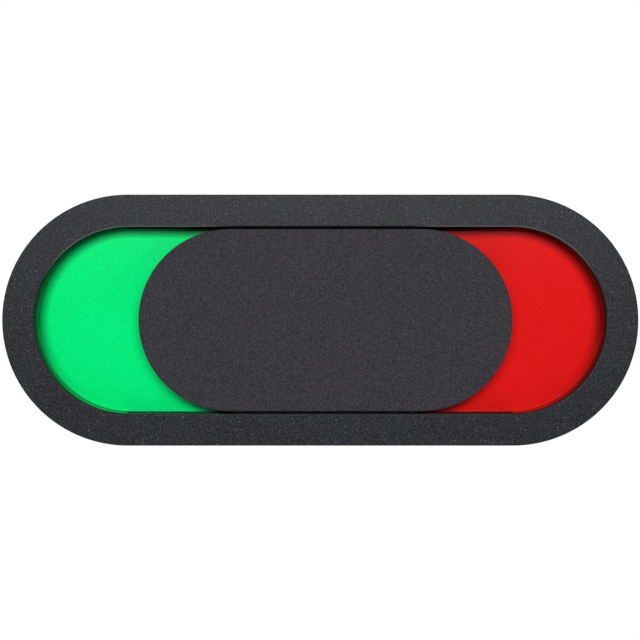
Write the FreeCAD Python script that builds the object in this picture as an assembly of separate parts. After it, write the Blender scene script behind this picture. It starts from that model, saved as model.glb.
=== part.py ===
"""Sliding free / occupied sign for a wall or a door: a stadium-shaped frame, a green and a red panel in its
window, and a slider that is pushed by hand to cover one colour or the other.

Millimetres. +X runs to the right along the sign, +Z is up, and the front looks towards -Y. The origin is the
centre of the wall plane that the adhesive pads rest on, so the whole sign lies at negative Y.
"""
import FreeCAD, Part
import math
import os

Vector = FreeCAD.Vector

# Overall sizes of the sign.
SIGN_LENGTH = 152.0
SIGN_HEIGHT = 60.0
RIM_WIDTH = 7.6            # frame width round the window, the same all the way round
RECESS_DEPTH = 5.2         # frame's front face down to the colour panels

# Slider.
SLIDER_LENGTH = 89.4
SLIDER_GAP = 0.62          # slit between the slider and the window above and below it
SLIDER_END_GAP = 0.3       # slit left at the end of the travel
SLIDER_SETBACK = 0.2       # slider's front face behind the frame's front face
SLIDER_OFFSET = 1.25       # slider's stored position, right of the window's centre
CARRIAGE_INSET = 0.8       # carriage outline inside the slider face's outline
CARRIAGE_STEP = 0.3        # carriage's seat for the slider face, in front of its flanges
CARRIAGE_PANEL_GAP = 0.6   # free space between the carriage and the colour panels

# Flanges on the carriage and the rails that guide them.
FLANGE_THICKNESS = 1.5
FLANGE_REACH = 2.5         # how far a flange reaches behind the frame, past the window's edge
FLANGE_END_INSET = 0.92    # flange ends inside the slider's straight edges
RAIL_SIDE_CLEARANCE = 0.1  # flange to each side of the rail's channel
RAIL_TIP_CLEARANCE = 0.3   # flange edge to the rail's web
RAIL_FRONT_WALL = 0.6
RAIL_WEB = 0.8
RAIL_SETBACK = 0.2         # rail's mouth behind the window's edge
RAIL_FIT = 0.05            # rail to its groove in the frame
BUMPER_LENGTH = 1.2
BUMPER_GAP = 0.05          # flange to bumper at the end of the travel

# Colour panels and what holds them.
PANEL_THICKNESS = 1.6
PANEL_EDGE_GAP = 0.15      # panel outline inside the window's outline
PANEL_JOINT_GAP = 0.1      # between the two panels, at the centre
PANEL_EDGE_ROUND = 0.25
FILM_THICKNESS = 0.2
FILM_INSET = 1.5

# Back plate, its seat in the frame, and the wall pads.
PLATE_THICKNESS = 2.2
PLATE_FIT = 0.1            # plate outline inside its seat
SKIRT_WIDTH = 1.6          # frame wall round the plate
SKIRT_WALL_GAP = 0.5       # frame's rear edge to the wall
PAD_THICKNESS = 0.8
PAD_POCKET_DEPTH = 0.5
PAD_GAP = 12.0             # between neighbouring pads
PAD_END_REACH = 11.0       # outer pads' ends past the centres of the frame's arcs
PAD_EDGE_INSET = 4.4       # pads' upper and lower edges inside the window's edge
PAD_CORNER = 3.0
PAD_FIT = 0.15             # pad outline inside its pocket

# Edge rounding.
OUTER_EDGE_ROUND = 0.35
WINDOW_EDGE_ROUND = 0.3
SLIDER_EDGE_ROUND = 0.3
REAR_EDGE_CHAMFER = 0.3

# Friction springs and glide pads in the flanges.
RUNNER_NOTCH_DEPTH = 0.9
RUNNER_CLEARANCE = 0.05    # spring crown, or pad, to the rail's web
SPRING_LENGTH = 12.0
SPRING_THICKNESS = 0.3
SPRING_WIDTH = 1.2
SPRING_NOTCH_MARGIN = 0.3
GLIDE_PAD_LENGTH = 10.0
GLIDE_PAD_WIDTH = 1.4

# Countersunk M2 screws: 3 mm long in the slider, 6 mm long in the frame.
SCREW_RADIUS = 0.95
SCREW_HEAD_RADIUS = 1.9
SCREW_HOLE_CLEARANCE = 0.05
SCREW_SUNK = 0.05          # head below the surface
SCREW_TIP_SPACE = 0.4      # hole past the screw's tip
CROSS_SLOT_LENGTH = 2.1
CROSS_SLOT_WIDTH = 0.5
CROSS_SLOT_DEPTH = 0.75
SLIDER_SCREW_SKIN = 0.95   # slider face left in front of a screw's hole
SLIDER_SCREW_END_INSET = 14.7
SLIDER_SCREW_HEIGHT = 12.0
FRAME_SCREW_LENGTH = 6.0
FRAME_SCREW_ANGLES = (-60.0, 0.0, 60.0)

# Stadium outlines, each as (half length, end radius), that follow from the sizes above.
OUTER = (SIGN_LENGTH / 2, SIGN_HEIGHT / 2)
WINDOW = (OUTER[0] - RIM_WIDTH, OUTER[1] - RIM_WIDTH)
SEAT = (OUTER[0] - SKIRT_WIDTH, OUTER[1] - SKIRT_WIDTH)
SLIDER = (SLIDER_LENGTH / 2, WINDOW[1] - SLIDER_GAP)

# Positions along X and Z that follow from them.
ARC_CENTRE = OUTER[0] - OUTER[1]
TRAVEL_HALF = WINDOW[0] - SLIDER[0] - SLIDER_END_GAP
FLANGE_HALF = SLIDER[0] - SLIDER[1] - FLANGE_END_INSET
FLANGE_EDGE = WINDOW[1] + FLANGE_REACH
RAIL_MOUTH = WINDOW[1] + RAIL_SETBACK
CHANNEL_FLOOR = FLANGE_EDGE + RAIL_TIP_CLEARANCE
RAIL_EDGE = CHANNEL_FLOOR + RAIL_WEB
BUMPER_FACE = FLANGE_HALF + TRAVEL_HALF + BUMPER_GAP
RAIL_HALF = BUMPER_FACE + BUMPER_LENGTH
NOTCH_FLOOR = FLANGE_EDGE - RUNNER_NOTCH_DEPTH
RUNNER_CONTACT = CHANNEL_FLOOR - RUNNER_CLEARANCE
PAD_LENGTH = (2 * (ARC_CENTRE + PAD_END_REACH) - 2 * PAD_GAP) / 3
PAD_HEIGHT = 2 * (WINDOW[1] - PAD_EDGE_INSET)

# Levels along Y, from the wall forwards.
PLATE_REAR = PAD_POCKET_DEPTH - PAD_THICKNESS
PLATE_FRONT = PLATE_REAR - PLATE_THICKNESS
FILM_FRONT = PLATE_FRONT - FILM_THICKNESS
PANEL_FRONT = FILM_FRONT - PANEL_THICKNESS
FRAME_FRONT = PANEL_FRONT - RECESS_DEPTH
FRAME_REAR = -SKIRT_WALL_GAP
CARRIAGE_BACK = PANEL_FRONT - CARRIAGE_PANEL_GAP
FLANGE_FRONT = CARRIAGE_BACK - FLANGE_THICKNESS
FACE_BACK = FLANGE_FRONT - CARRIAGE_STEP
FACE_FRONT = FRAME_FRONT + SLIDER_SETBACK
CHANNEL_FRONT = FLANGE_FRONT - RAIL_SIDE_CLEARANCE
CHANNEL_BACK = CARRIAGE_BACK + RAIL_SIDE_CLEARANCE
RAIL_FRONT = CHANNEL_FRONT - RAIL_FRONT_WALL

# Each kind of screw as the Y of its head and the Y of its tip.
FRAME_SCREW_HEAD = PLATE_REAR - SCREW_SUNK
FRAME_SCREW = (FRAME_SCREW_HEAD, FRAME_SCREW_HEAD - FRAME_SCREW_LENGTH)
SLIDER_SCREW = (CARRIAGE_BACK - SCREW_SUNK, FACE_FRONT + SLIDER_SCREW_SKIN + SCREW_TIP_SPACE)

OVERCUT = 1.0              # how far a cutting tool runs past the face that it opens
FORWARD = Vector(0, -1, 0)


def block(x0, x1, y0, y1, z0, z1):
    """A box between two corners."""
    return Part.makeBox(x1 - x0, y1 - y0, z1 - z0, Vector(x0, y0, z0))


def inset(outline, amount):
    """A stadium outline moved inwards all round."""
    return outline[0] - amount, outline[1] - amount


def stadium(outline, y0, y1, centre=0.0):
    """A plate with two straight edges and two half-round ends, between two Y levels."""
    half_length, radius = outline
    left, right = centre - half_length + radius, centre + half_length - radius
    top_left, top_right = Vector(left, y0, radius), Vector(right, y0, radius)
    low_left, low_right = Vector(left, y0, -radius), Vector(right, y0, -radius)
    edges = [
        Part.LineSegment(top_left, top_right).toShape(),
        Part.Arc(top_right, Vector(right + radius, y0, 0), low_right).toShape(),
        Part.LineSegment(low_right, low_left).toShape(),
        Part.Arc(low_left, Vector(left - radius, y0, 0), top_left).toShape(),
    ]
    return Part.Face(Part.Wire(edges)).extrude(Vector(0, y1 - y0, 0))


def outline_edges(shape, outline, y, centre=0.0):
    """The edges of a shape that follow one stadium outline in one Y level."""
    half_length, radius = outline
    found = []
    for edge in shape.Edges:
        box = edge.BoundBox
        middle = edge.valueAt((edge.FirstParameter + edge.LastParameter) / 2)
        past_straight = max(abs(middle.x - centre) - half_length + radius, 0.0)
        in_level = max(abs(box.YMin - y), abs(box.YMax - y)) < 1e-6
        if in_level and abs(math.hypot(past_straight, middle.z) - radius) < 0.01:
            found.append(edge)
    return found


def rounded_pad(margin, y0, y1, centre):
    """A wall pad's outline with round corners, grown by a margin, between two Y levels."""
    half_length, half_height = PAD_LENGTH / 2 + margin, PAD_HEIGHT / 2 + margin
    plate = block(centre - half_length, centre + half_length, y0, y1, -half_height, half_height)
    corners = [edge for edge in plate.Edges if edge.BoundBox.YLength > (y1 - y0) / 2]
    return plate.makeFillet(PAD_CORNER + margin, corners)


def countersunk_screw(x, z, head_y, tip_y):
    """A screw whose head's flat face is at head_y: a 90 degree cone, a shank and a cross recess."""
    start = Vector(x, head_y, z)
    cone = Part.makeCone(SCREW_HEAD_RADIUS, SCREW_RADIUS, SCREW_HEAD_RADIUS - SCREW_RADIUS, start, FORWARD)
    screw = cone.fuse(Part.makeCylinder(SCREW_RADIUS, head_y - tip_y, start, FORWARD)).removeSplitter()
    floor, long, wide = head_y - CROSS_SLOT_DEPTH, CROSS_SLOT_LENGTH / 2, CROSS_SLOT_WIDTH / 2
    for half_x, half_z in ((long, wide), (wide, long)):
        screw = screw.cut(block(x - half_x, x + half_x, floor, head_y + OVERCUT, z - half_z, z + half_z))
    return screw


def screw_hole(x, z, head_y, tip_y):
    """The hole that clears such a screw all round, open at its head."""
    mouth_radius = SCREW_HEAD_RADIUS + SCREW_HOLE_CLEARANCE
    hole_radius = SCREW_RADIUS + SCREW_HOLE_CLEARANCE
    start = Vector(x, head_y, z)
    cone = Part.makeCone(mouth_radius, hole_radius, mouth_radius - hole_radius, start, FORWARD)
    mouth = Part.makeCylinder(mouth_radius, OVERCUT, start, -FORWARD)
    bore = Part.makeCylinder(hole_radius, head_y - tip_y + SCREW_TIP_SPACE, start, FORWARD)
    return cone.fuse(mouth).fuse(bore)


def frame_screw_places():
    """Centres of the frame screws, on arcs midway between the window's edge and the plate's seat."""
    ring = (WINDOW[1] + SEAT[1]) / 2
    places = []
    for side in (-1, 1):
        for angle in FRAME_SCREW_ANGLES:
            turn = math.radians(angle)
            places.append((side * (ARC_CENTRE + ring * math.cos(turn)), ring * math.sin(turn)))
    return places


def slider_screw_places():
    """Centres of the slider's screws, two to each side of its centre."""
    reach = SLIDER[0] - SLIDER_SCREW_END_INSET
    return [
        (SLIDER_OFFSET + side * reach, level * SLIDER_SCREW_HEIGHT)
        for side in (-1, 1)
        for level in (-1, 1)
    ]


def front_frame():
    """The ring: an even rim round the window, a groove for each rail, a seat for the back plate."""
    ring = stadium(OUTER, FRAME_FRONT, FRAME_REAR)
    ring = ring.cut(stadium(WINDOW, FRAME_FRONT - OVERCUT, FRAME_REAR + OVERCUT))
    ring = ring.makeFillet(OUTER_EDGE_ROUND, outline_edges(ring, OUTER, FRAME_FRONT))
    ring = ring.makeFillet(WINDOW_EDGE_ROUND, outline_edges(ring, WINDOW, FRAME_FRONT))
    ring = ring.makeChamfer(REAR_EDGE_CHAMFER, outline_edges(ring, OUTER, FRAME_REAR))
    ring = ring.cut(stadium(SEAT, PLATE_FRONT, FRAME_REAR + OVERCUT))
    groove_half, groove_edge = RAIL_HALF + RAIL_FIT, RAIL_EDGE + RAIL_FIT
    for level in (-1, 1):
        low, high = sorted((level * groove_edge, 0.0))
        ring = ring.cut(block(-groove_half, groove_half, RAIL_FRONT, PLATE_FRONT, low, high))
    for x, z in frame_screw_places():
        ring = ring.cut(screw_hole(x, z, *FRAME_SCREW))
    return ring


def pad_centres():
    """X of the wall pads' centres, by name."""
    pitch = PAD_LENGTH + PAD_GAP
    return {"left": -pitch, "centre": 0.0, "right": pitch}


def back_plate():
    """The plate behind the window, with shallow pockets for the wall pads and countersunk screw holes."""
    plate = stadium(inset(SEAT, PLATE_FIT), PLATE_FRONT, PLATE_REAR)
    for centre in pad_centres().values():
        plate = plate.cut(rounded_pad(PAD_FIT, -PAD_THICKNESS, PLATE_REAR + OVERCUT, centre))
    for x, z in frame_screw_places():
        plate = plate.cut(screw_hole(x, z, *FRAME_SCREW))
    return plate


def wall_pad(centre):
    """One foam pad, adhesive on both sides, from its pocket's floor to the wall."""
    return rounded_pad(0.0, -PAD_THICKNESS, 0.0, centre)


def half_of(plate, side):
    """The part of a plate to one side of the joint between the two colours."""
    low, high = sorted((side * PANEL_JOINT_GAP / 2, side * OUTER[0]))
    return plate.common(block(low, high, FRAME_FRONT, 0.0, -OUTER[1], OUTER[1]))


def colour_panel(side):
    """One colour panel: an acrylic half plate whose round edge follows the window."""
    outline = inset(WINDOW, PANEL_EDGE_GAP)
    plate = stadium(outline, PANEL_FRONT, FILM_FRONT)
    plate = plate.makeFillet(PANEL_EDGE_ROUND, outline_edges(plate, outline, PANEL_FRONT))
    return half_of(plate, side)


def panel_film(side):
    """The adhesive film between one colour panel and the back plate."""
    return half_of(stadium(inset(WINDOW, FILM_INSET), FILM_FRONT, PLATE_FRONT), side)


def slider_face():
    """The slider's plate, with blind holes in its back for the carriage's screws."""
    face = stadium(SLIDER, FACE_FRONT, FACE_BACK, SLIDER_OFFSET)
    face = face.makeFillet(SLIDER_EDGE_ROUND, outline_edges(face, SLIDER, FACE_FRONT, SLIDER_OFFSET))
    for x, z in slider_screw_places():
        face = face.cut(screw_hole(x, z, *SLIDER_SCREW))
    return face


def runner_span(length, side):
    """X range of a spring, glide pad or notch, centred in one half of the flange."""
    centre = SLIDER_OFFSET + side * FLANGE_HALF / 2
    return centre - length / 2, centre + length / 2


def slider_carriage():
    """The carriage behind the slider's plate: a flat body, and a notched flange above and below it."""
    body = stadium(inset(SLIDER, CARRIAGE_INSET), FACE_BACK, CARRIAGE_BACK, SLIDER_OFFSET)
    left, right = SLIDER_OFFSET - FLANGE_HALF, SLIDER_OFFSET + FLANGE_HALF
    body = body.fuse(block(left, right, FLANGE_FRONT, CARRIAGE_BACK, -FLANGE_EDGE, FLANGE_EDGE))
    for side in (-1, 1):
        left, right = runner_span(SPRING_LENGTH + 2 * SPRING_NOTCH_MARGIN, side)
        body = body.cut(block(left, right, FLANGE_FRONT, CARRIAGE_BACK, NOTCH_FLOOR, FLANGE_EDGE))
        left, right = runner_span(GLIDE_PAD_LENGTH, side)
        body = body.cut(block(left, right, FLANGE_FRONT, CARRIAGE_BACK, -FLANGE_EDGE, -NOTCH_FLOOR))
    for x, z in slider_screw_places():
        body = body.cut(screw_hole(x, z, *SLIDER_SCREW))
    return body.removeSplitter()


def friction_spring(side):
    """A bowed leaf: its ends stand on the notch's floor, and its crown bears on the upper rail's web."""
    left, right = runner_span(SPRING_LENGTH, side)
    middle = (left + right) / 2
    y0 = (FLANGE_FRONT + CARRIAGE_BACK - SPRING_WIDTH) / 2
    foot_left, foot_right = Vector(left, y0, NOTCH_FLOOR), Vector(right, y0, NOTCH_FLOOR)
    crown = Vector(middle, y0, RUNNER_CONTACT)
    rise = Vector(0, 0, SPRING_THICKNESS)
    edges = [
        Part.Arc(foot_left, crown - rise, foot_right).toShape(),
        Part.LineSegment(foot_right, foot_right + rise).toShape(),
        Part.Arc(foot_right + rise, crown, foot_left + rise).toShape(),
        Part.LineSegment(foot_left + rise, foot_left).toShape(),
    ]
    return Part.Face(Part.Wire(edges)).extrude(Vector(0, SPRING_WIDTH, 0))


def glide_pad(side):
    """A low-friction block in the lower flange, which carries the slider on the lower rail's web."""
    left, right = runner_span(GLIDE_PAD_LENGTH, side)
    y0 = (FLANGE_FRONT + CARRIAGE_BACK - GLIDE_PAD_WIDTH) / 2
    return block(left, right, y0, y0 + GLIDE_PAD_WIDTH, -RUNNER_CONTACT, -NOTCH_FLOOR)


def guide_rail(level):
    """A U-section rail: its mouth faces the window, and its web backs against the frame's groove."""
    low, high = sorted((level * RAIL_MOUTH, level * RAIL_EDGE))
    rail = block(-RAIL_HALF, RAIL_HALF, RAIL_FRONT, PLATE_FRONT, low, high)
    low, high = sorted((level * RAIL_MOUTH, level * CHANNEL_FLOOR))
    return rail.cut(block(-RAIL_HALF, RAIL_HALF, CHANNEL_FRONT, CHANNEL_BACK, low, high))


def bumper(level, side):
    """A rubber stop that fills one end of a rail's channel."""
    x0, x1 = sorted((side * BUMPER_FACE, side * RAIL_HALF))
    z0, z1 = sorted((level * RAIL_MOUTH, level * CHANNEL_FLOOR))
    return block(x0, x1, CHANNEL_FRONT, CHANNEL_BACK, z0, z1)


def screw_set(places, span):
    """The same screw at each place, as separate solids of one node."""
    return Part.makeCompound([countersunk_screw(x, z, *span) for x, z in places])


def all_nodes():
    """Every piece of the sign, by name."""
    nodes = {
        "front_frame": front_frame(),
        "back_plate": back_plate(),
        "frame_screws": screw_set(frame_screw_places(), FRAME_SCREW),
        "slider_face": slider_face(),
        "slider_carriage": slider_carriage(),
        "slider_screws": screw_set(slider_screw_places(), SLIDER_SCREW),
    }
    for name, side in (("green", -1), ("red", 1)):
        nodes[name + "_panel"] = colour_panel(side)
        nodes[name + "_panel_film"] = panel_film(side)
    for name, side in (("left", -1), ("right", 1)):
        nodes["friction_spring_" + name] = friction_spring(side)
        nodes["glide_pad_" + name] = glide_pad(side)
        nodes["upper_bumper_" + name] = bumper(1, side)
        nodes["lower_bumper_" + name] = bumper(-1, side)
    for name, level in (("upper", 1), ("lower", -1)):
        nodes[name + "_guide_rail"] = guide_rail(level)
    for name, centre in pad_centres().items():
        nodes["wall_pad_" + name] = wall_pad(centre)
    return nodes


os.makedirs("parts", exist_ok=True)
for node, shape in all_nodes().items():
    shape.exportStep("parts/" + node + ".step")
print("slider travel", -TRAVEL_HALF - SLIDER_OFFSET, TRAVEL_HALF - SLIDER_OFFSET)
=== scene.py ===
import math

import bmesh
import bpy
import numpy as np
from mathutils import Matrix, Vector


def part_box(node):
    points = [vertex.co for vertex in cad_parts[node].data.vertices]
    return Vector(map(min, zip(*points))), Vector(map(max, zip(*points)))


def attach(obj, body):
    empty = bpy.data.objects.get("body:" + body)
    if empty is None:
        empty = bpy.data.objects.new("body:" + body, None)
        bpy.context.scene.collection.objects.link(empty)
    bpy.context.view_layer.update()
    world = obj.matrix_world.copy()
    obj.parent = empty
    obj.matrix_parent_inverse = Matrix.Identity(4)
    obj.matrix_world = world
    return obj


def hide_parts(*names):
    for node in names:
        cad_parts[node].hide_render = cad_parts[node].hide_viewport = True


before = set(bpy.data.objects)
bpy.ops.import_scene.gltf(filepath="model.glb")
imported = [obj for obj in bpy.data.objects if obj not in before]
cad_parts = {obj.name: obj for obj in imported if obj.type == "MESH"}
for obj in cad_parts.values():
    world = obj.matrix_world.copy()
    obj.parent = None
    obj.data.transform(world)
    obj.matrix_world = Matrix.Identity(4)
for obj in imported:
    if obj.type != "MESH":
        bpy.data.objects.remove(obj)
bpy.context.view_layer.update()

# A sliding free / occupied sign. It hangs upright with its front towards -Y; lengths are in metres.
MM = 0.001

# Edge rounding and fits of the finished pieces.
OUTER_EDGE = 0.35 * MM      # frame's outer front edge
WINDOW_EDGE = 0.3 * MM      # frame's window edge
SLIDER_EDGE = 0.2 * MM      # slider's front edge
BACK_EDGE = 0.12 * MM       # broken edges that nobody sees from the front
REAR_CHAMFER = 0.3 * MM     # frame's outer rear edge
SKIRT_WIDTH = 1.6 * MM      # frame's wall round the back plate
PANEL_EDGE = 0.12 * MM      # colour panels' round edge
PANEL_SEAL = 0.07 * MM      # gap that the coat on the window's wall leaves round the panels
GROOVE_FIT = 0.05 * MM      # rails inside the frame's grooves
RAIL_EDGE = 0.12 * MM       # rails' moulded edges
RAIL_FRONT_WALL = 0.6 * MM
RAIL_WEB = 0.8 * MM         # rails' wall at the bottom of the channel
RAIL_CHANNEL = 1.7 * MM     # rails' channel, front to back
SUPPORT = 0.02 * MM         # ring beside each round edge that keeps the flat face flat
BUMPER_EDGE = 0.2 * MM
BUMPER_CORNER = BUMPER_EDGE + 2 * SUPPORT
FOAM_EDGE = 0.15 * MM
PAD_CORNER = 3.0 * MM
CUT_MARGIN = 1.0 * MM       # a panel's curved outline keeps clear of its square end by this

ARC_STEPS = 96              # stations on each half-round end
STRAIGHT_STEPS = 12         # stations on each straight edge
EDGE_STEPS = 5              # steps across one rounded edge
CORNER_STEPS = 10           # steps round one corner of a pad or bumper
SHARP_ANGLE = math.radians(32.0)    # edges that turn further than this stay sharp
MERGE_GAP = 1e-7            # points closer than this become one
STRAIGHTEST = 0.999999      # cosine at which a corner counts as straight

FRAME_LOW, FRAME_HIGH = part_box("front_frame")
RAIL_LOW, RAIL_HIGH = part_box("upper_guide_rail")
PLATE_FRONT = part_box("back_plate")[0].y
OUTER_RADIUS = FRAME_HIGH.z
STRAIGHT = FRAME_HIGH.x - OUTER_RADIUS
WINDOW_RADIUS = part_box("green_panel")[1].z + PANEL_SEAL


# ---------------------------------------------------------------- shapes

def unit(vectors):
    """Each row divided by its own length; a row of no length stays as it is."""
    lengths = np.linalg.norm(vectors, axis=-1, keepdims=True)
    return vectors / np.where(lengths > 0, lengths, 1.0)


def rounded(corners):
    """A closed profile with round corners, from rows of (u, v, radius).

    At each corner the arc starts and ends one tangent length, radius / tan(half the corner's angle), along the
    two edges. Its centre lies on the bisector, radius / sin(half angle) away, and its points are the circular
    blend of the two spokes that reach the tangent points.
    """
    rows = np.asarray(corners, float)
    points, radii = rows[:, :2], rows[:, 2:3]
    before = unit(np.roll(points, 1, axis=0) - points)
    after = unit(np.roll(points, -1, axis=0) - points)
    cosine = np.clip((before * after).sum(axis=1, keepdims=True), -STRAIGHTEST, STRAIGHTEST)
    half = np.arccos(cosine) / 2
    tangent = radii / np.tan(half)
    centre = points + unit(before + after) * radii / np.sin(half)
    start_spoke = points + before * tangent - centre
    end_spoke = points + after * tangent - centre
    sweep = math.pi - 2 * half
    share = np.linspace(0, 1, EDGE_STEPS + 1)[None, :, None]
    blend_start = np.sin((1 - share) * sweep[:, None]) / np.sin(sweep)[:, None]
    blend_end = np.sin(share * sweep[:, None]) / np.sin(sweep)[:, None]
    arcs = centre[:, None] + start_spoke[:, None] * blend_start + end_spoke[:, None] * blend_end
    return arcs.reshape(-1, 2)


def finish_mesh(name, points, faces, material):
    """A mesh object from points and faces: doubles merged, normals outwards, round edges smooth."""
    mesh = bpy.data.meshes.new(name)
    mesh.from_pydata(points.tolist(), [], faces)
    work = bmesh.new()
    work.from_mesh(mesh)
    bmesh.ops.remove_doubles(work, verts=work.verts, dist=MERGE_GAP)
    bmesh.ops.dissolve_degenerate(work, edges=work.edges, dist=MERGE_GAP)
    bmesh.ops.recalc_face_normals(work, faces=work.faces)
    work.to_mesh(mesh)
    work.free()
    mesh.shade_smooth()
    mesh.set_sharp_from_angle(angle=SHARP_ANGLE)
    mesh.materials.append(material)
    piece = bpy.data.objects.new(name, mesh)
    bpy.context.scene.collection.objects.link(piece)
    return piece


def grid_faces(rows, columns, wrap_rows, wrap_columns):
    """Four-cornered faces between neighbouring rows and columns of a grid, closed on itself where asked."""
    row = np.arange(rows if wrap_rows else rows - 1)[:, None]
    column = np.arange(columns if wrap_columns else columns - 1)[None, :]
    next_row, next_column = (row + 1) % rows, (column + 1) % columns
    corners = [row * columns + column, row * columns + next_column,
               next_row * columns + next_column, next_row * columns + column]
    return np.stack(corners, axis=-1).reshape(-1, 4).tolist()


def stadium_path(straight, extra_angles=()):
    """Stations round a stadium: the spine's x, and the outward direction (across, up).

    The spine is the segment between the two arc centres. Along the straight edges the spine point moves and the
    direction is up or down; round the ends the spine point stands and the direction is (sin, cos) of the angle from
    +Z, in even steps and at the extra angles, above and below.
    """
    even = np.linspace(0, math.pi, ARC_STEPS + 1)
    extra = np.asarray(extra_angles, float)
    turn = np.unique(np.concatenate([even, extra, math.pi - extra]))
    along = np.linspace(-straight, straight, STRAIGHT_STEPS + 1)[1:-1]
    spine = np.concatenate([np.full(turn.size, straight), along[::-1], np.full(turn.size, -straight), along])
    angle = np.concatenate([turn, np.full(along.size, math.pi), turn + math.pi, np.full(along.size, 2 * math.pi)])
    return spine, np.stack([np.sin(angle), np.cos(angle)], axis=1)


def carried_ring(name, path, radii, levels, material):
    """A closed profile carried round a stadium: point = spine + radius * direction, at its own level in Y.

    Radii have a row for each station and a column for each point of the profile.
    """
    spine, direction = path
    x = spine[:, None] + radii * direction[:, :1]
    z = radii * direction[:, 1:]
    y = np.broadcast_to(levels, radii.shape)
    points = np.stack([x, y, z], axis=-1).reshape(-1, 3)
    return finish_mesh(name, points, grid_faces(spine.size, levels.size, True, True), material)


def stadium_outline(straight, radius, centre=0.0):
    """A stadium as rows of (x, z, inset direction in x and z): spine + radius * direction."""
    spine, direction = stadium_path(straight)
    return np.column_stack([centre + spine + radius * direction[:, 0], radius * direction[:, 1], direction])


def half_stadium_outline(straight, radius, joint, side):
    """One end of a stadium, cut square at x = joint.

    The curved end's points are put in order of their angle about the arc's centre, and the cut's points run evenly
    from edge to edge and are inset only up and down.
    """
    outline = stadium_outline(straight, radius)
    kept = outline[outline[:, 0] * side > abs(joint) + CUT_MARGIN]
    order = np.argsort(np.arctan2(kept[:, 1], (kept[:, 0] - side * straight) * side))
    kept = kept[order]
    level = np.linspace(1, -1, STRAIGHT_STEPS + 1)
    cut = np.column_stack([np.full(level.size, joint), level * radius, np.zeros(level.size), level])
    return np.vstack([kept, cut])


def rectangle_outline(half_x, half_z, corner, centre_x, centre_z):
    """A rectangle with round corners as rows of (x, z, inset direction in x and z).

    Each corner is a quarter circle about its own centre, point = centre + corner * (sin, cos) of the angle from +Z,
    and is inset along its own spokes.
    """
    turn = np.linspace(0, math.pi / 2, CORNER_STEPS + 1)
    angle = (np.arange(4)[:, None] * math.pi / 2 + turn[None, :]).ravel()
    direction = np.stack([np.sin(angle), np.cos(angle)], axis=1)
    signs = np.array([[1, 1], [1, -1], [-1, -1], [-1, 1]], float).repeat(turn.size, axis=0)
    inner = signs * np.array([half_x - corner, half_z - corner]) + np.array([centre_x, centre_z])
    return np.column_stack([inner + corner * direction, direction])


def plate(name, outline, front, back, front_edge, back_edge, material):
    """A plate with rounded edges: outline points move in along their inset directions by the profile's depth.

    The profile runs from the middle of the front face, over the front edge and the back edge, to the middle of
    the back face; at both middles every station meets in the outline's centre.
    """
    reach = max(front_edge, back_edge) + SUPPORT
    corners = [(reach, front, 0.0), (0.0, front, front_edge), (0.0, back, back_edge), (reach, back, 0.0)]
    profile = rounded(corners)
    depth = np.concatenate([[reach], profile[:, 0], [reach]])
    level = np.concatenate([[front], profile[:, 1], [back]])
    share = np.ones(depth.size)
    share[[0, -1]] = 0.0
    place, direction = outline[:, :2], outline[:, 2:]
    middle = (place.max(axis=0) + place.min(axis=0)) / 2
    across = (place[:, None] - direction[:, None] * depth[None, :, None] - middle) * share[None, :, None] + middle
    y = np.broadcast_to(level, across.shape[:2])
    points = np.stack([across[..., 0], y, across[..., 1]], axis=-1).reshape(-1, 3)
    return finish_mesh(name, points, grid_faces(len(outline), depth.size, True, False), material)


def bar(name, profile, x0, x1, material):
    """A closed profile of (y, z) carried along X, with a flat cap at each end."""
    ends = np.array([x0, x1])
    x = np.repeat(ends, len(profile))
    across = np.tile(profile, (2, 1))
    points = np.column_stack([x, across])
    faces = grid_faces(2, len(profile), False, True)
    faces += [list(range(len(profile))), list(range(len(profile), 2 * len(profile)))]
    return finish_mesh(name, points, faces, material)


# ---------------------------------------------------------------- materials

# Powder coat. Its real grain is near 0.1 mm, too fine to show, so the grain is drawn about three times as coarse,
# and the painted glints, pale specks that stand for highlights on its peaks, five times.
COAT_GRAIN = 0.27 * MM
COAT_GRAIN_ROUGHNESS = 0.7
GRAIN_LEVELS = (0.4, 0.62)          # noise, from the dark ground to the pale lumps
COAT_CLOUDS = 14 * MM               # slow drift between the coat's two greys
CLOUD_LEVELS = (0.35, 0.65)
PAINTED_GLINT_SIZE = 0.5 * MM
PAINTED_GLINT_LEVELS = (0.71, 0.79)         # only the noise's peaks make a painted glint
# pale grey painted into the frame's colour as glints of light, a painted highlight
PAINTED_GLINT_GREY = "57595f"
EDGE_SHADE_GREY = "222226"                # painted shade on the window's rounded edge, where it turns away from the light
# pale grey painted on the window's front edge at the top of both ends, a painted highlight
PAINTED_HIGHLIGHT_GREY = "66676a"
# Painted light on the window's wall: green and red stand for the panels' bounced light, near black for its shade.
WALL_SHADE_BLACK = "060607"
WALL_BOUNCE_GREENS = ("029a62", "02d276")  # in shade, and lit
WALL_BOUNCE_REDS = ("9a1010", "d21a1a")

# Where the frame's painted light and shade change: distances from the spine, levels on the sign, and depths, front to
# back.
WALL_SKIN = (WINDOW_RADIUS + 0.01 * MM, WINDOW_RADIUS + 0.04 * MM)
EDGE_SHADE_BAND = (WINDOW_RADIUS + 0.12 * MM, WINDOW_RADIUS + 0.24 * MM)
HIGHLIGHT_EDGE_BAND = (WINDOW_RADIUS + 0.16 * MM, WINDOW_RADIUS + 0.26 * MM)
HIGHLIGHT_DEPTH = (FRAME_LOW.y + 0.3 * MM, FRAME_LOW.y + 0.7 * MM)
HIGHLIGHT_LEVEL = (9 * MM, 17 * MM)
SIGN_ENDS = (33 * MM, 37 * MM)      # distances from the sign's middle, just short of the slider's ends
FOOT_LEVEL = (-21 * MM, -12 * MM)
SHADE_LEVEL = (-6 * MM, 20 * MM)
SHADE_LEFT = 0.2                    # share of the wall's colour that is left under the top edge
PAINT_FRONT = FRAME_LOW.y + 0.6 * MM
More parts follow.
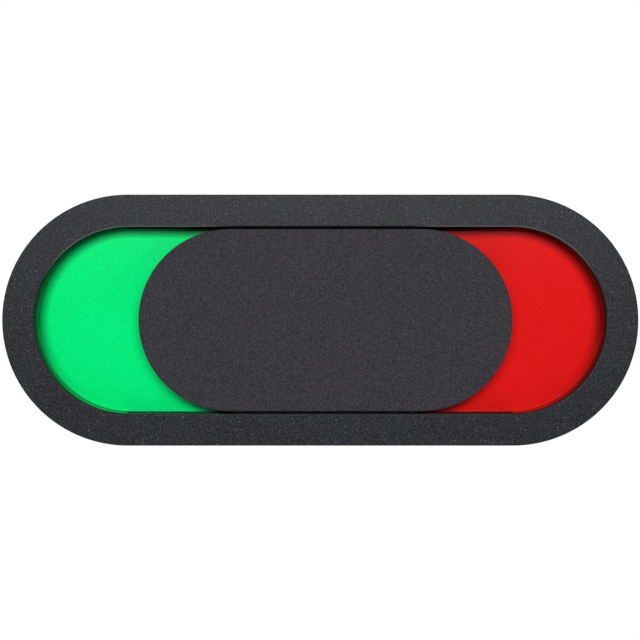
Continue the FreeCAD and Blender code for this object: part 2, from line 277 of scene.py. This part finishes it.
PAINT_AT_FRONT = (0.25, 0.03)       # share of the wall's colour at its front: on the sides, along the foot
FULL_AT_FOOT = FRAME_LOW.y + 1.5 * MM   # depth at which the wall has its full colour, along the foot
WALL_BACK = RAIL_LOW.y + 2.6 * MM   # the same depth further up, just in front of the panels
FULL_LEVEL = (-21 * MM, -8 * MM)
BESIDE_PANEL = (RAIL_LOW.y + 0.2 * MM, WALL_BACK)
PANEL_JOINT = (-1 * MM, 1 * MM)

# Cast acrylic. The dye's mottle is drawn coarser than real, so that it shows.
ACRYLIC_CLOUDS = 9 * MM             # slow drift in the sheet's colour
ACRYLIC_CLOUD_SHARE = 0.25
ACRYLIC_MOTTLE = 0.4 * MM
MOTTLE_LEVELS = (0.4, 0.85)
ACRYLIC_RIPPLE = 0.6 * MM           # polishing waves
ACRYLIC_RIPPLE_DEPTH = 0.002 * MM
# Painted shade: the panels darken over their last 2.6 mm towards the window's wall, less so lower down.
RIM_SHADE_BAND = (WINDOW_RADIUS - 2.6 * MM, WINDOW_RADIUS)
RIM_SHADE_LEVEL = (-22 * MM, -4 * MM)
# Painted highlight: a pale line just inside the panels' curved edge, on its lower part.
CUT_HIGHLIGHT_BAND = (WINDOW_RADIUS - 0.34 * MM, WINDOW_RADIUS - 0.2 * MM)
CUT_HIGHLIGHT_LEVEL = (-7 * MM, -1 * MM)

# Plastics, steel and foam.
PLASTIC_CLOUDS = 12 * MM            # slow drift in a moulding's colour
PLASTIC_LEVELS = (0.3, 0.7)
STEEL_CLOUDS = 0.8 * MM             # haze in the plating
STEEL_LEVELS = (0.3, 0.7)
STEEL_ROUGHNESS_SPREAD = (-0.06, 0.08)
STEEL_SCRATCHES = 0.15 * MM
STEEL_SCRATCH_DEPTH = 0.004 * MM
FOAM_CELLS = 0.45 * MM              # real cells are about half this size; drawn coarser, so that they show
FOAM_CELL_DEPTH = 0.05 * MM


def linear(code):
    """An sRGB hex colour as linear red, green, blue, alpha."""
    parts = np.array([int(code[i:i + 2], 16) for i in (0, 2, 4)]) / 255
    values = np.where(parts <= 0.04045, parts / 12.92, ((parts + 0.055) / 1.055) ** 2.4)
    return (*values.tolist(), 1.0)


def new_material(name, **values):
    """A material with one Principled shader whose named sockets are set to constants."""
    material = bpy.data.materials.new(name)
    material.use_nodes = True
    shader = material.node_tree.nodes["Principled BSDF"]
    for socket, value in values.items():
        shader.inputs[socket.replace("_", " ")].default_value = value
    return material, material.node_tree, shader


def add(tree, kind, inputs=(), **settings):
    """Adds a node with its settings and links.

    Inputs are a row in the order of the node's sockets, or a mapping by socket name or number. Each is a constant,
    or the output socket that it is linked to.
    """
    made = tree.nodes.new(kind)
    for name, value in settings.items():
        setattr(made, name, value)
    for key, value in inputs.items() if isinstance(inputs, dict) else enumerate(inputs):
        if isinstance(value, bpy.types.NodeSocket):
            tree.links.new(value, made.inputs[key])
        else:
            made.inputs[key].default_value = value
    return made


def drive(tree, shader, **outputs):
    """Links the shader's named sockets to other nodes' outputs."""
    for socket, value in outputs.items():
        tree.links.new(value, shader.inputs[socket.replace("_", " ")])


def from_spine(tree, place):
    """The distance from the segment between the sign's two arc centres, in metres.

    The place is folded into one quarter by its absolute value, moved back by half the segment, cut off at zero and
    flattened onto the sign's face; what is left is as long as the distance.
    """
    folded = add(tree, "ShaderNodeVectorMath", (place,), operation="ABSOLUTE").outputs[0]
    past = add(tree, "ShaderNodeVectorMath", (folded, (STRAIGHT, 0, 0)), operation="SUBTRACT").outputs[0]
    beyond = add(tree, "ShaderNodeVectorMath", (past, (0, 0, 0)), operation="MAXIMUM").outputs[0]
    flat = add(tree, "ShaderNodeVectorMath", (beyond, (1, 0, 1)), operation="MULTIPLY").outputs[0]
    return add(tree, "ShaderNodeVectorMath", (flat,), operation="LENGTH").outputs["Value"]


def wall_bounce_and_shade(tree, x, y, z, ends):
    """The window's wall: green at the left end and red at the right, and near black between the ends.

    These colours are painted light and shade: green and red stand for the panels' light bounced onto the dark wall,
    and near black for its shade. The colour is brighter along the foot and beside the panels. It sets in behind the
    front, at once along the foot and slowly above it, and it is held back towards the top, where the wall lies in its
    own shade.
    """
    foot = add(tree, "ShaderNodeMapRange", (z, *FOOT_LEVEL, 1, 0)).outputs[0]
    beside = add(tree, "ShaderNodeMapRange", (y, *BESIDE_PANEL)).outputs[0]
    lit = add(tree, "ShaderNodeMath", (foot, beside), operation="MAXIMUM").outputs[0]
    shade_green, lit_green = (linear(code) for code in WALL_BOUNCE_GREENS)
    shade_red, lit_red = (linear(code) for code in WALL_BOUNCE_REDS)
    green = add(tree, "ShaderNodeMix", {0: lit, 6: shade_green, 7: lit_green}, data_type="RGBA").outputs[2]
    red = add(tree, "ShaderNodeMix", {0: lit, 6: shade_red, 7: lit_red}, data_type="RGBA").outputs[2]
    side = add(tree, "ShaderNodeMapRange", (x, *PANEL_JOINT)).outputs[0]
    full = add(tree, "ShaderNodeMix", {0: side, 6: green, 7: red}, data_type="RGBA").outputs[2]
    full_depth = add(tree, "ShaderNodeMapRange", (z, *FULL_LEVEL, FULL_AT_FOOT, WALL_BACK)).outputs[0]
    at_front = add(tree, "ShaderNodeMapRange", (foot, 0, 1, *PAINT_AT_FRONT)).outputs[0]
    depth_share = add(tree, "ShaderNodeMapRange", (y, PAINT_FRONT, full_depth, at_front, 1)).outputs[0]
    unshaded = add(tree, "ShaderNodeMapRange", (z, *SHADE_LEVEL, 1, SHADE_LEFT)).outputs[0]
    held = add(tree, "ShaderNodeMath", (depth_share, unshaded), operation="MULTIPLY").outputs[0]
    share = add(tree, "ShaderNodeMath", (held, ends), operation="MULTIPLY").outputs[0]
    return add(tree, "ShaderNodeMix", {0: share, 6: linear(WALL_SHADE_BLACK), 7: full}, data_type="RGBA").outputs[2]


def powder_coat(name, dark, light, tint, roughness, sheen, depth, framed=False):
    """Fine-texture polyester powder coat: dull anthracite that twinkles where a grain faces the light.

    The baked powder leaves dense fine lumps in two slightly different greys. The frame's coat also has sparse pale
    specks painted in as glints of light, a painted shade that darkens the window's rounded edge, a painted highlight
    on that edge at the ends of the top, and inside the window the wall's painted bounce light and shade, quite matt.
    """
    material, tree, shader = new_material(name, Roughness=roughness, Specular_IOR_Level=sheen)
    place = add(tree, "ShaderNodeTexCoord").outputs["Object"]
    lumps = add(tree, "ShaderNodeTexNoise", {"Vector": place, "Scale": 1 / COAT_GRAIN,
                                             "Roughness": COAT_GRAIN_ROUGHNESS}).outputs["Fac"]
    clouds = add(tree, "ShaderNodeTexNoise", {"Vector": place, "Scale": 1 / COAT_CLOUDS}).outputs["Fac"]
    hue = add(tree, "ShaderNodeMapRange", (clouds, *CLOUD_LEVELS)).outputs[0]
    pale = add(tree, "ShaderNodeMix", {0: hue, 6: linear(light), 7: linear(tint)}, data_type="RGBA").outputs[2]
    raised = add(tree, "ShaderNodeMapRange", (lumps, *GRAIN_LEVELS)).outputs[0]
    coat = add(tree, "ShaderNodeMix", {0: raised, 6: linear(dark), 7: pale}, data_type="RGBA").outputs[2]
    if framed:
        x, y, z = add(tree, "ShaderNodeSeparateXYZ", (place,)).outputs
        radius = from_spine(tree, place)
        reach = add(tree, "ShaderNodeVectorMath", (place,), operation="LENGTH").outputs["Value"]
        ends = add(tree, "ShaderNodeMapRange", (reach, *SIGN_ENDS)).outputs[0]

        # Painted highlight: sparse pale specks in the frame's colour stand for glints of light on the coat's peaks.
        peaks = add(tree, "ShaderNodeTexNoise", {"Vector": place, "Scale": 1 / PAINTED_GLINT_SIZE,
                                                 "Detail": 0}).outputs["Fac"]
        painted_glint = add(tree, "ShaderNodeMapRange", (peaks, *PAINTED_GLINT_LEVELS)).outputs[0]
        coat = add(tree, "ShaderNodeMix", {0: painted_glint, 6: coat, 7: linear(PAINTED_GLINT_GREY)}, data_type="RGBA").outputs[2]

        # Painted shade: the window's rounded edge is darkened where it turns from the light.
        thin = add(tree, "ShaderNodeMapRange", (radius, *EDGE_SHADE_BAND, 1, 0)).outputs[0]
        coat = add(tree, "ShaderNodeMix", {0: thin, 6: coat, 7: linear(EDGE_SHADE_GREY)}, data_type="RGBA").outputs[2]

        # Inside the window the coat takes the wall's painted bounce light and shade.
        inside = add(tree, "ShaderNodeMapRange", (radius, *WALL_SKIN, 1, 0)).outputs[0]
        wall = wall_bounce_and_shade(tree, x, y, z, ends)
        coat = add(tree, "ShaderNodeMix", {0: inside, 6: coat, 7: wall}, data_type="RGBA").outputs[2]

        # Painted highlight: a pale line on the window's front edge at the top of both ends, where light catches it.
        edge = add(tree, "ShaderNodeMapRange", (radius, *HIGHLIGHT_EDGE_BAND, 1, 0)).outputs[0]
        shallow = add(tree, "ShaderNodeMapRange", (y, *HIGHLIGHT_DEPTH, 1, 0)).outputs[0]
        upper = add(tree, "ShaderNodeMapRange", (z, *HIGHLIGHT_LEVEL)).outputs[0]
        wear_and_highlight = add(tree, "ShaderNodeMath", (edge, shallow), operation="MULTIPLY").outputs[0]
        highlight_ends = add(tree, "ShaderNodeMath", (upper, ends), operation="MULTIPLY").outputs[0]
        bright = add(tree, "ShaderNodeMath", (wear_and_highlight, highlight_ends), operation="MULTIPLY").outputs[0]
        coat = add(tree, "ShaderNodeMix", {0: bright, 6: coat, 7: linear(PAINTED_HIGHLIGHT_GREY)}, data_type="RGBA").outputs[2]

        matt = add(tree, "ShaderNodeMapRange", (inside, 0, 1, roughness, 1)).outputs[0]
        drive(tree, shader, Roughness=matt)
    relief = add(tree, "ShaderNodeBump", {"Height": lumps, "Distance": depth}).outputs["Normal"]
    drive(tree, shader, Base_Color=coat, Normal=relief)
    return material


def cast_acrylic(name, body, cloudy, rim, cut, roughness):
    """Dyed cast acrylic with a polished face: full colour with a faint fine mottle.

    Towards the rim a painted shade deepens it, less so along the foot, and along the lower curved edge a painted
    highlight shows as a pale line.
    """
    material, tree, shader = new_material(name, Roughness=roughness, IOR=1.49)
    place = add(tree, "ShaderNodeTexCoord").outputs["Object"]
    level = add(tree, "ShaderNodeSeparateXYZ", (place,)).outputs["Z"]
    radius = from_spine(tree, place)
    clouds = add(tree, "ShaderNodeTexNoise", {"Vector": place, "Scale": 1 / ACRYLIC_CLOUDS}).outputs["Fac"]
    fine = add(tree, "ShaderNodeTexNoise", {"Vector": place, "Scale": 1 / ACRYLIC_MOTTLE}).outputs["Fac"]
    both = add(tree, "ShaderNodeMath", (clouds, ACRYLIC_CLOUD_SHARE, fine), operation="MULTIPLY_ADD").outputs[0]
    mottle = add(tree, "ShaderNodeMapRange", (both, *MOTTLE_LEVELS)).outputs[0]
    dyed = add(tree, "ShaderNodeMix", {0: mottle, 6: linear(body), 7: linear(cloudy)}, data_type="RGBA").outputs[2]

    # Painted shade towards the window's wall, weaker lower down.
    near = add(tree, "ShaderNodeMapRange", (radius, *RIM_SHADE_BAND)).outputs[0]
    shade_by_level = add(tree, "ShaderNodeMapRange", (level, *RIM_SHADE_LEVEL)).outputs[0]
    rim_shade = add(tree, "ShaderNodeMath", (near, shade_by_level), operation="MULTIPLY").outputs[0]
    dyed = add(tree, "ShaderNodeMix", {0: rim_shade, 6: dyed, 7: linear(rim)}, data_type="RGBA").outputs[2]

    # Painted highlight: the cut colour is a pale line along the lower curved edge, where light catches it.
    last = add(tree, "ShaderNodeMapRange", (radius, *CUT_HIGHLIGHT_BAND)).outputs[0]
    low = add(tree, "ShaderNodeMapRange", (level, *CUT_HIGHLIGHT_LEVEL, 1, 0)).outputs[0]
    line = add(tree, "ShaderNodeMath", (last, low), operation="MULTIPLY").outputs[0]
    dyed = add(tree, "ShaderNodeMix", {0: line, 6: dyed, 7: linear(cut)}, data_type="RGBA").outputs[2]

    ripple = add(tree, "ShaderNodeTexNoise", {"Vector": place, "Scale": 1 / ACRYLIC_RIPPLE}).outputs["Fac"]
    relief = add(tree, "ShaderNodeBump", {"Height": ripple, "Distance": ACRYLIC_RIPPLE_DEPTH}).outputs["Normal"]
    drive(tree, shader, Base_Color=dyed, Normal=relief)
    return material


def moulded_plastic(name, body, wear_and_highlight, roughness, grain, depth):
    """Injection-moulded plastic with a spark-eroded grain: even colour, soft sheen, fine pebbled skin."""
    material, tree, shader = new_material(name, Roughness=roughness, IOR=1.5)
    place = add(tree, "ShaderNodeTexCoord").outputs["Object"]
    clouds = add(tree, "ShaderNodeTexNoise", {"Vector": place, "Scale": 1 / PLASTIC_CLOUDS}).outputs["Fac"]
    handled = add(tree, "ShaderNodeMapRange", (clouds, *PLASTIC_LEVELS)).outputs[0]
    skin = add(tree, "ShaderNodeMix", {0: handled, 6: linear(body), 7: linear(wear_and_highlight)}, data_type="RGBA").outputs[2]
    pebbles = add(tree, "ShaderNodeTexNoise", {"Vector": place, "Scale": 1 / grain}).outputs["Fac"]
    relief = add(tree, "ShaderNodeBump", {"Height": pebbles, "Distance": depth}).outputs["Normal"]
    drive(tree, shader, Base_Color=skin, Normal=relief)
    return material


def plated_steel(name, body, shade, roughness):
    """Zinc-plated or bare spring steel: bright, slightly cloudy metal with fine drawn scratches."""
    material, tree, shader = new_material(name, Metallic=1.0)
    place = add(tree, "ShaderNodeTexCoord").outputs["Object"]
    clouds = add(tree, "ShaderNodeTexNoise", {"Vector": place, "Scale": 1 / STEEL_CLOUDS, "Detail": 3}).outputs["Fac"]
    metal = add(tree, "ShaderNodeMix", {0: clouds, 6: linear(body), 7: linear(shade)}, data_type="RGBA").outputs[2]
    smooth, dull = (roughness + step for step in STEEL_ROUGHNESS_SPREAD)
    dullness = add(tree, "ShaderNodeMapRange", (clouds, *STEEL_LEVELS, smooth, dull)).outputs[0]
    scratches = add(tree, "ShaderNodeTexNoise", {"Vector": place, "Scale": 1 / STEEL_SCRATCHES}).outputs["Fac"]
    relief = add(tree, "ShaderNodeBump", {"Height": scratches, "Distance": STEEL_SCRATCH_DEPTH}).outputs["Normal"]
    drive(tree, shader, Base_Color=metal, Roughness=dullness, Normal=relief)
    return material


def closed_cell_foam(name, body, shade):
    """Acrylic foam tape: dull grey with fine closed cells that show as a pitted skin."""
    material, tree, shader = new_material(name, Roughness=0.85, IOR=1.45)
    place = add(tree, "ShaderNodeTexCoord").outputs["Object"]
    cells = add(tree, "ShaderNodeTexVoronoi", {"Vector": place, "Scale": 1 / FOAM_CELLS}).outputs["Distance"]
    skin = add(tree, "ShaderNodeMix", {0: cells, 6: linear(shade), 7: linear(body)}, data_type="RGBA").outputs[2]
    relief = add(tree, "ShaderNodeBump", {"Height": cells, "Distance": FOAM_CELL_DEPTH}).outputs["Normal"]
    drive(tree, shader, Base_Color=skin, Normal=relief)
    return material


# Frame and slider: sprayed, baked powder, so dark, even and nearly without shine; the frame a little bluer.
FRAME_COAT = powder_coat("anthracite_powder_coat_frame", dark="020304", light="38383f", tint="353b41",
                         roughness=0.4, sheen=0.15, depth=0.03 * MM, framed=True)
SLIDER_COAT = powder_coat("anthracite_powder_coat_slider", dark="28272b", light="444147", tint="404147",
                          roughness=0.5, sheen=0.06, depth=0.025 * MM)
# Panels: polished cast sheet, so one strong colour with a soft reflection; rim is their painted shade, cut their
# painted highlight.
GREEN_ACRYLIC = cast_acrylic("green_cast_acrylic", body="02fb88", cloudy="02ea76", rim="018e48", cut="24bf80",
                             roughness=0.09)
RED_ACRYLIC = cast_acrylic("red_cast_acrylic", body="ee1a1a", cloudy="dc1717", rim="850a0a", cut="c93328",
                           roughness=0.09)
# Mouldings: grained ABS looks dry, acetal waxy and smoother, silicone rubber quite dull.
BLACK_ABS = moulded_plastic("black_abs_moulding", body="1b1b1d", wear_and_highlight="222224",
                            roughness=0.5, grain=0.4 * MM, depth=0.012 * MM)
BLACK_ACETAL = moulded_plastic("black_acetal_rail", body="131314", wear_and_highlight="19191a",
                               roughness=0.38, grain=0.25 * MM, depth=0.004 * MM)
WHITE_ACETAL = moulded_plastic("natural_acetal_glide", body="e6e4dc", wear_and_highlight="dcdad0",
                               roughness=0.38, grain=0.25 * MM, depth=0.004 * MM)
BUMPER_RUBBER = moulded_plastic("black_silicone_rubber", body="161616", wear_and_highlight="1d1d1d",
                                roughness=0.75, grain=0.3 * MM, depth=0.01 * MM)
# Screws and springs: plated or rolled, so bright with a slight haze.
ZINC_STEEL = plated_steel("zinc_plated_steel", body="c8cacc", shade="a6a8ab", roughness=0.3)
SPRING_STEEL = plated_steel("rolled_spring_steel", body="b9bbbe", shade="9a9ca0", roughness=0.35)
# Tapes: soft pitted foam behind, and a smooth pale film under the panels.
TAPE_FOAM = closed_cell_foam("grey_acrylic_foam_tape", body="6e7073", shade="46484b")
TAPE_FILM = moulded_plastic("clear_adhesive_film", body="d9d8d2", wear_and_highlight="cfcec8",
                            roughness=0.3, grain=1.5 * MM, depth=0.004 * MM)


# ---------------------------------------------------------------- pieces

def place_piece(piece, body, slot, *nodes):
    """Ties a new piece to its body and hides the CAD nodes that it stands for."""
    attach(piece, body)
    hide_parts(*nodes)


def front_frame():
    """The frame ring: one profile carried round the stadium, with a groove for the rails along the straights.

    The groove's radius is its height divided by the cosine of the station's angle, up to the groove's end, and
    the window's radius from there on, so the groove stays straight and ends square: its end is a line across the
    rim, from the angle where it leaves the groove's edge to the angle where it meets the window. The fourth corner
    of the profile and a point added behind it, at the back plate's front, take that radius.
    """
    groove_half, groove_edge = RAIL_HIGH.x + GROOVE_FIT, RAIL_HIGH.z + GROOVE_FIT
    past = groove_half - STRAIGHT
    last = math.atan(past / groove_edge)
    shut = math.asin(past / WINDOW_RADIUS)
    path = stadium_path(STRAIGHT, (last, shut))
    slope = np.abs(path[1][:, 1])
    open_here = slope > math.cos((last + shut) / 2)
    groove = np.where(open_here, groove_edge / slope, WINDOW_RADIUS)
    front, rear = FRAME_LOW.y, FRAME_HIGH.y
    seat_radius = OUTER_RADIUS - SKIRT_WIDTH
    corners = [(OUTER_RADIUS, front, OUTER_EDGE), (WINDOW_RADIUS, front, WINDOW_EDGE),
               (WINDOW_RADIUS, RAIL_LOW.y, 0.0), (seat_radius, RAIL_LOW.y, 0.0), (seat_radius, PLATE_FRONT, 0.0),
               (seat_radius, rear, 0.0), (OUTER_RADIUS - REAR_CHAMFER, rear, 0.0),
               (OUTER_RADIUS, rear - REAR_CHAMFER, 0.0)]
    profile = rounded(corners)
    radii = np.tile(profile[:, 0], (path[0].size, 1))
    corner_points = EDGE_STEPS + 1
    groove_start, groove_end = 3 * corner_points, 4 * corner_points
    radii[:, groove_start:groove_end] = groove[:, None]
    levels = np.insert(profile[:, 1], groove_end, PLATE_FRONT)
    radii = np.insert(radii, groove_end, groove, axis=1)
    flat_outer, flat_inner = OUTER_RADIUS - OUTER_EDGE - SUPPORT, WINDOW_RADIUS + WINDOW_EDGE + SUPPORT
    levels = np.insert(levels, corner_points, [front, front])
    radii = np.insert(radii, [corner_points, corner_points], [flat_outer, flat_inner], axis=1)
    ring = carried_ring("frame_ring", path, radii, levels, FRAME_COAT)
    place_piece(ring, "housing", "frame_powder_coat", "front_frame")


def slider_plate():
    """The slider's plate, a stadium with a finely rounded front edge."""
    low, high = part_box("slider_face")
    radius, centre = high.z, (low.x + high.x) / 2
    outline = stadium_outline((high.x - low.x) / 2 - radius, radius, centre)
    made = plate("slider_plate", outline, low.y, high.y, SLIDER_EDGE, BACK_EDGE, SLIDER_COAT)
    place_piece(made, "slider", "slider_powder_coat", "slider_face")


def colour_panel(name, side, material, slot):
    """One colour panel: half a stadium whose curved edge is rounded over, square at the joint."""
    low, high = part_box(name)
    joint = high.x if side < 0 else low.x
    outline = half_stadium_outline(STRAIGHT, high.z, joint, side)
    made = plate(name + "_insert", outline, low.y, high.y, PANEL_EDGE, BACK_EDGE, material)
    place_piece(made, "housing", slot, name)


def guide_rail(name, level):
    """A rail: a U whose mouth faces the window, with a thin front wall and a thick back one, carried along X."""
    low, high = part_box(name)
    mouth, web = (low.z, high.z) if level > 0 else (high.z, low.z)
    floor = web - level * RAIL_WEB
    channel_front = low.y + RAIL_FRONT_WALL
    channel_back = channel_front + RAIL_CHANNEL
    places = [(low.y, mouth), (low.y, web), (high.y, web), (high.y, mouth),
              (channel_back, mouth), (channel_back, floor), (channel_front, floor), (channel_front, mouth)]
    corners = [(*place, RAIL_EDGE) for place in places]
    made = bar(name + "_moulding", rounded(corners), low.x, high.x, BLACK_ACETAL)
    place_piece(made, "housing", "rail_acetal", name)


def bumper(name):
    """A rubber stop with soft edges, pressed into the end of a rail."""
    low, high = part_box(name)
    centre_x, centre_z = (low.x + high.x) / 2, (low.z + high.z) / 2
    outline = rectangle_outline(high.x - centre_x, high.z - centre_z, BUMPER_CORNER, centre_x, centre_z)
    made = plate(name + "_stop", outline, low.y, high.y, BUMPER_EDGE, BUMPER_EDGE, BUMPER_RUBBER)
    place_piece(made, "housing", "bumper_rubber", name)


def wall_pad(name):
    """A foam tape pad with die-cut round corners."""
    low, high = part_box(name)
    centre_x, centre_z = (low.x + high.x) / 2, (low.z + high.z) / 2
    outline = rectangle_outline(high.x - centre_x, high.z - centre_z, PAD_CORNER, centre_x, centre_z)
    made = plate(name + "_foam", outline, low.y, high.y, FOAM_EDGE, FOAM_EDGE, TAPE_FOAM)
    place_piece(made, "housing", "foam_tape", name)


front_frame()
slider_plate()
colour_panel("green_panel", -1, GREEN_ACRYLIC, "green_acrylic")
colour_panel("red_panel", 1, RED_ACRYLIC, "red_acrylic")
for rail_name, rail_level in (("upper_guide_rail", 1), ("lower_guide_rail", -1)):
    guide_rail(rail_name, rail_level)
for row in ("upper", "lower"):
    for end in ("left", "right"):
        bumper(row + "_bumper_" + end)
for pad_place in ("left", "centre", "right"):
    wall_pad("wall_pad_" + pad_place)

# The CAD nodes that are drawn as they are, and what each is made of.
CAD_FINISHES = {
    "back_plate": BLACK_ABS,
    "slider_carriage": BLACK_ACETAL,
    "green_panel_film": TAPE_FILM,
    "red_panel_film": TAPE_FILM,
    "slider_screws": ZINC_STEEL,
    "frame_screws": ZINC_STEEL,
    "friction_spring_left": SPRING_STEEL,
    "friction_spring_right": SPRING_STEEL,
    "glide_pad_left": WHITE_ACETAL,
    "glide_pad_right": WHITE_ACETAL,
}
for cad_name, finish in CAD_FINISHES.items():
    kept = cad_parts[cad_name]
    kept.data.materials.clear()
    kept.data.materials.append(finish)


# ---------------------------------------------------------------- floor, light and camera

FLOOR_HALF, FLOOR_MIDDLE, FLOOR_LEVEL = 0.65, 0.1, -0.3     # half its side, its middle's Y and its Z
FLOOR_PATCHES = 40 * MM
SEEN_WHITE = 1.02           # strength of the surroundings as the camera sees them
FILL_WHITE = 0.03           # strength of their light on the sign
CAMERA_SENSOR = 36.0        # mm
CAMERA_LENS = 68.03         # mm
CAMERA_SHIFT = (-0.00045, 0.0002)
CAMERA_CLIP = (0.01, 20.0)
CAMERA_DISTANCE = 0.2886    # from the frame's front


def aim(thing, place, target):
    """Puts a light or camera at a place, looking at a target, with its top up."""
    thing.location = place
    thing.rotation_euler = (Vector(target) - Vector(place)).to_track_quat("-Z", "Y").to_euler()


def softbox(name, place, width, height, power):
    """A rectangular area light that faces the sign, with its power in watts."""
    light = bpy.data.lights.new(name, "AREA")
    light.shape = "RECTANGLE"
    light.size, light.size_y = width, height
    light.energy = power
    made = bpy.data.objects.new(name, light)
    bpy.context.scene.collection.objects.link(made)
    aim(made, place, (0, FRAME_LOW.y, 0))


def studio_floor():
    """A pale matt floor under the sign, below the front view."""
    front, back = FLOOR_MIDDLE - FLOOR_HALF, FLOOR_MIDDLE + FLOOR_HALF
    corners = [(-FLOOR_HALF, front, FLOOR_LEVEL), (FLOOR_HALF, front, FLOOR_LEVEL),
               (FLOOR_HALF, back, FLOOR_LEVEL), (-FLOOR_HALF, back, FLOOR_LEVEL)]
    mesh = bpy.data.meshes.new("studio_floor")
    mesh.from_pydata(corners, [], [(0, 1, 2, 3)])
    material, tree, shader = new_material("pale_studio_floor", Roughness=0.8)
    place = add(tree, "ShaderNodeTexCoord").outputs["Object"]
    patches = add(tree, "ShaderNodeTexNoise", {"Vector": place, "Scale": 1 / FLOOR_PATCHES}).outputs["Fac"]
    pale = add(tree, "ShaderNodeMix", {0: patches, 6: linear("e9e9e8"), 7: linear("efefee")},
               data_type="RGBA").outputs[2]
    drive(tree, shader, Base_Color=pale)
    mesh.materials.append(material)
    floor = bpy.data.objects.new("studio_floor", mesh)
    bpy.context.scene.collection.objects.link(floor)


def studio_world():
    """White surroundings behind the sign, and a much dimmer fill on it."""
    world = bpy.data.worlds.new("studio_surroundings")
    bpy.context.scene.world = world
    world.use_nodes = True
    tree = world.node_tree
    tree.nodes.clear()
    seen = add(tree, "ShaderNodeBackground", {"Color": (1, 1, 1, 1), "Strength": SEEN_WHITE}).outputs[0]
    fill = add(tree, "ShaderNodeBackground", {"Color": (1, 1, 1, 1), "Strength": FILL_WHITE}).outputs[0]
    camera_ray = add(tree, "ShaderNodeLightPath").outputs["Is Camera Ray"]
    mixed = add(tree, "ShaderNodeMixShader", (camera_ray, fill, seen)).outputs[0]
    add(tree, "ShaderNodeOutputWorld", {"Surface": mixed})


def studio_camera():
    """The camera stands square in front of the sign's centre."""
    data = bpy.data.cameras.new("front_camera")
    data.sensor_width = CAMERA_SENSOR
    data.lens = CAMERA_LENS
    data.shift_x, data.shift_y = CAMERA_SHIFT
    data.clip_start, data.clip_end = CAMERA_CLIP
    camera = bpy.data.objects.new("front_camera", data)
    bpy.context.scene.collection.objects.link(camera)
    aim(camera, (0, FRAME_LOW.y - CAMERA_DISTANCE, 0), (0, 0, 0))
    bpy.context.scene.camera = camera


studio_floor()
studio_world()
studio_camera()
# The main light is high in front. The others light the top and the back, which the front view doesn't see.
softbox("high_softbox", (0.01, -0.9, 0.284), width=0.88, height=0.32, power=8.2)
softbox("top_softbox", (0.0, 0.5, 0.75), width=0.8, height=0.4, power=4.5)
softbox("rear_left_softbox", (0.7, 0.8, 0.25), width=0.6, height=0.6, power=9.0)
softbox("rear_right_softbox", (-0.8, 0.7, 0.1), width=0.4, height=0.6, power=5.0)
bpy.context.scene.view_settings.view_transform = "Standard"
